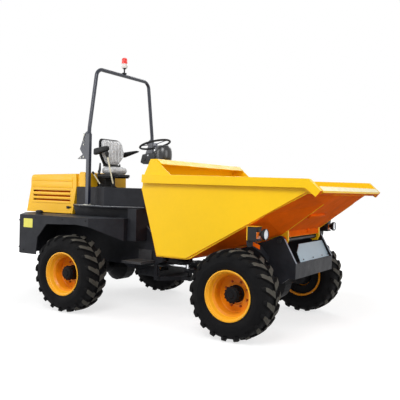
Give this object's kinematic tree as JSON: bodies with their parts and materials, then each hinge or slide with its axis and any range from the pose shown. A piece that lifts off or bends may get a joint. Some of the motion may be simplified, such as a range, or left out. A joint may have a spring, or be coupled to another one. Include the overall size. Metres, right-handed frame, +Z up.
{
  "type": "site dumper",
  "caption": "Articulated four-wheel site dumper with a forward-tipping steel skip, an open operator's platform and a folding roll bar.",
  "frame": {"origin": "on the floor, under the middle of the machine's length and width", "axes": "+X towards the skip, +Y to the operator's left, +Z up"},
  "size_m": [4.052, 2.015, 2.9179],
  "materials": {
    "skip_paint": "gloss yellow paint",
    "hood_paint": "gloss orange-yellow paint",
    "rim_paint": "orange-yellow wheel paint",
    "chassis_paint": "satin charcoal paint",
    "pale_plate": "pale grey-blue paint",
    "cast_iron": "painted casting",
    "bright_steel": "ground and plated",
    "black_plastic": "fine texture",
    "seat_vinyl": "grey vinyl",
    "red_lens": "clear moulded lens",
    "tyre": "moulded rubber with lugs"
  },
  "bodies": {
    "rear_chassis": {"rear_frame": "chassis_paint", "counterweight": "chassis_paint", "engine_block": "cast_iron", "hood_pin": "bright_steel", "fender_left": "chassis_paint", "fender_right": "chassis_paint", "filler_cap": "black_plastic", "engine_cowl": "hood_paint", "operator_platform": "chassis_paint", "fuel_tank": "chassis_paint", "hydraulic_tank": "chassis_paint", "step_left": "chassis_paint", "step_right": "chassis_paint", "seat_base": "black_plastic", "seat_cushion": "seat_vinyl", "seat_back": "seat_vinyl", "steering_column": "black_plastic", "control_levers": "black_plastic", "roll_post_left": "chassis_paint", "roll_post_right": "chassis_paint", "axle_rear": "chassis_paint", "articulation_pin": "bright_steel"},
    "front_chassis": {"front_frame": "chassis_paint", "nose_cover": "pale_plate", "skip_pivot_pin": "bright_steel", "axle_front": "chassis_paint", "lamp_bracket_left": "skip_paint", "lamp_bracket_right": "skip_paint", "headlamp_left": "black_plastic", "headlamp_right": "black_plastic"},
    "skip": {"skip_tub": "skip_paint", "skip_side_left": "skip_paint", "skip_side_right": "skip_paint"},
    "hood": {"hood": "hood_paint"},
    "roll_hoop": {"roll_hoop": "chassis_paint", "beacon": "red_lens"},
    "steering_wheel": {"steering_wheel": "black_plastic"},
    "wheel_front_left": {"tyre_front_left": "tyre", "rim_front_left": "rim_paint", "hub_front_left": "chassis_paint"},
    "wheel_front_right": {"tyre_front_right": "tyre", "rim_front_right": "rim_paint", "hub_front_right": "chassis_paint"},
    "wheel_rear_left": {"tyre_rear_left": "tyre", "rim_rear_left": "rim_paint", "hub_rear_left": "chassis_paint"},
    "wheel_rear_right": {"tyre_rear_right": "tyre", "rim_rear_right": "rim_paint", "hub_rear_right": "chassis_paint"},
    "tip_barrel": {"tip_cylinder_barrel": "chassis_paint"},
    "tip_rod": {"tip_cylinder_rod": "bright_steel"},
    "steer_barrel_left": {"steer_cylinder_left_barrel": "chassis_paint"},
    "steer_rod_left": {"steer_cylinder_left_rod": "bright_steel"},
    "steer_barrel_right": {"steer_cylinder_right_barrel": "chassis_paint"},
    "steer_rod_right": {"steer_cylinder_right_rod": "bright_steel"}
  },
  "joints": [
    {"name": "articulation", "type": "hinge", "parent": "rear_chassis", "child": "front_chassis", "pos_m": [0.184, 0, 0.49], "axis": [0, 0, 1], "range_deg": [-30, 30]},
    {"name": "skip_tip", "type": "hinge", "parent": "front_chassis", "child": "skip", "pos_m": [1.484, 0, 0.9], "axis": [0, 1, 0], "range_deg": [0, 75]},
    {"name": "tip_barrel_swing", "type": "hinge", "parent": "front_chassis", "child": "tip_barrel", "pos_m": [0.384, 0, 0.45], "axis": [0, -1, 0], "range_deg": [0, 9.7]},
    {"name": "tip_rod_slide", "type": "slide", "parent": "tip_barrel", "child": "tip_rod", "axis": [0.9171, 0, 0.3987], "range_m": [0, 0.1495]},
    {"name": "steer_barrel_left_swing", "type": "hinge", "parent": "rear_chassis", "child": "steer_barrel_left", "pos_m": [-0.366, 0.2, 0.52], "axis": [0, 0, 1], "range_deg": [-4.4, 4.4]},
    {"name": "steer_rod_left_slide", "type": "slide", "parent": "steer_barrel_left", "child": "steer_rod_left", "axis": [1, 0, 0], "range_m": [-0.103, 0.103]},
    {"name": "steer_barrel_right_swing", "type": "hinge", "parent": "rear_chassis", "child": "steer_barrel_right", "pos_m": [-0.366, -0.2, 0.52], "axis": [0, 0, 1], "range_deg": [-4.4, 4.4]},
    {"name": "steer_rod_right_slide", "type": "slide", "parent": "steer_barrel_right", "child": "steer_rod_right", "axis": [1, 0, 0], "range_m": [-0.103, 0.103]},
    {"name": "hood_lift", "type": "hinge", "parent": "rear_chassis", "child": "hood", "pos_m": [-2.008, 0, 1.003], "axis": [0, -1, 0], "range_deg": [0, 40]},
    {"name": "roll_hoop_fold", "type": "hinge", "parent": "rear_chassis", "child": "roll_hoop", "pos_m": [-0.886, 0, 1.938], "axis": [0, -1, 0], "range_deg": [0, 90]},
    {"name": "steering_wheel_turn", "type": "hinge", "parent": "rear_chassis", "child": "steering_wheel", "pos_m": [-0.348, 0, 1.867], "axis": [-0.2756, 0, 0.9613], "continuous": true},
    {"name": "wheel_front_left_roll", "type": "hinge", "parent": "front_chassis", "child": "wheel_front_left", "pos_m": [1.209, 0.854, 0.4155], "axis": [0, 1, 0], "continuous": true},
    {"name": "wheel_front_right_roll", "type": "hinge", "parent": "front_chassis", "child": "wheel_front_right", "pos_m": [1.209, -0.854, 0.4155], "axis": [0, 1, 0], "continuous": true},
    {"name": "wheel_rear_left_roll", "type": "hinge", "parent": "rear_chassis", "child": "wheel_rear_left", "pos_m": [-0.816, 0.854, 0.4155], "axis": [0, 1, 0], "continuous": true},
    {"name": "wheel_rear_right_roll", "type": "hinge", "parent": "rear_chassis", "child": "wheel_rear_right", "pos_m": [-0.816, -0.854, 0.4155], "axis": [0, 1, 0], "continuous": true}
  ],
  "couplings": [
    {"joint": "tip_barrel_swing", "follows": "skip_tip", "ratio": 0.12817},
    {"joint": "tip_rod_slide", "follows": "skip_tip", "m_per_rad": 0.11388},
    {"joint": "steer_barrel_left_swing", "follows": "articulation", "ratio": 0.1452},
    {"joint": "steer_rod_left_slide", "follows": "articulation", "m_per_rad": -0.1963},
    {"joint": "steer_barrel_right_swing", "follows": "articulation", "ratio": 0.1452},
    {"joint": "steer_rod_right_slide", "follows": "articulation", "m_per_rad": 0.1963}
  ]
}
